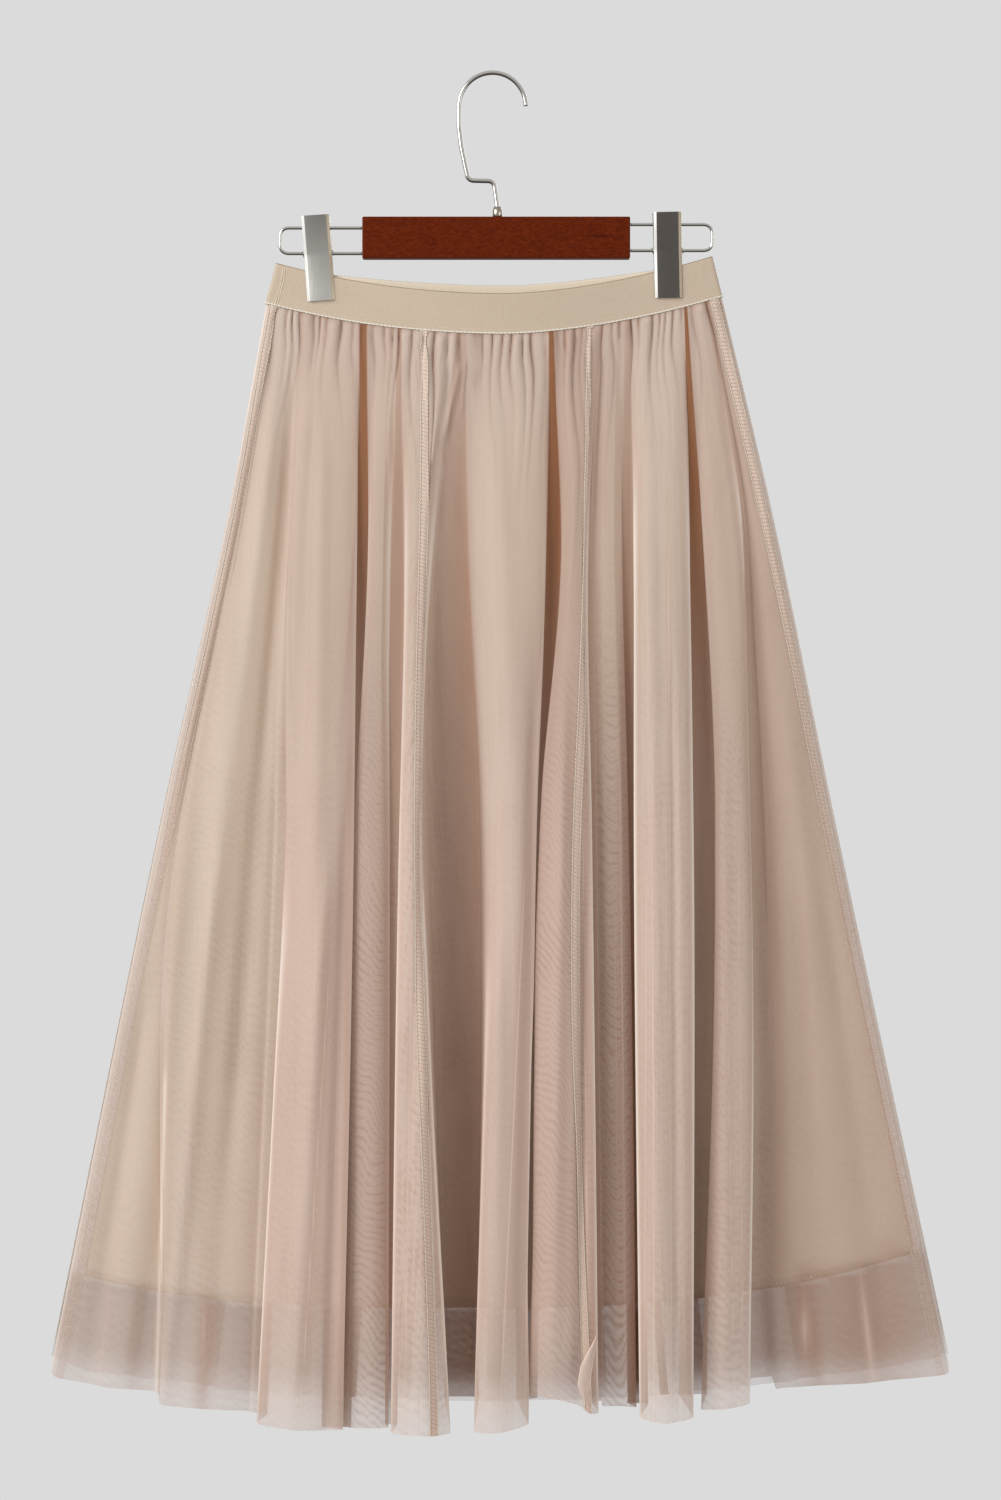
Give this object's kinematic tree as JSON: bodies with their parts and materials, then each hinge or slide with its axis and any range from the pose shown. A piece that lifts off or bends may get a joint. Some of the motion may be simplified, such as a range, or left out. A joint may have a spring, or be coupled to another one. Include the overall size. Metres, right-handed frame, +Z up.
{
  "type": "tulle midi skirt on a clip hanger",
  "caption": "Gathered midi skirt of sheer net gores over a shorter knit lining, with a flat elastic waistband, hanging from two clips of a wooden-bar hanger with a wire hook.",
  "frame": {"origin": "inside the top of the hook's crook, where the hanger hangs on its rail", "axes": "+Z up along the hanging skirt, +X to the right seen from the front, +Y towards the back of the skirt"},
  "size_m": [0.6279, 0.103, 0.9421],
  "materials": {
    "tulle": "sheer dusty-pink beige net, soft and slightly lustrous",
    "lining": "opaque beige knit, matte",
    "elastic": "flat woven beige elastic with fine ribs, matte",
    "mahogany": "dark red-brown stained wood, satin varnish",
    "bright_wire": "bright plated wire",
    "clip_steel": "pressed plated steel with bright edges",
    "nickel": "plated brass"
  },
  "bodies": {
    "root": {"waistband": "elastic", "tulle_front_left": "tulle", "tulle_front_centre": "tulle", "tulle_front_right": "tulle", "tulle_back_left": "tulle", "tulle_back_centre": "tulle", "tulle_back_right": "tulle", "lining_front": "lining", "lining_back": "lining", "hook": "bright_wire", "ferrule": "nickel", "hanger_bar": "mahogany", "wire_loop_left": "bright_wire", "wire_loop_right": "bright_wire", "clip_left_front": "clip_steel", "clip_left_back": "clip_steel", "clip_left_spring": "nickel", "clip_right_front": "clip_steel", "clip_right_back": "clip_steel", "clip_right_spring": "nickel"}
  },
  "joints": []
}
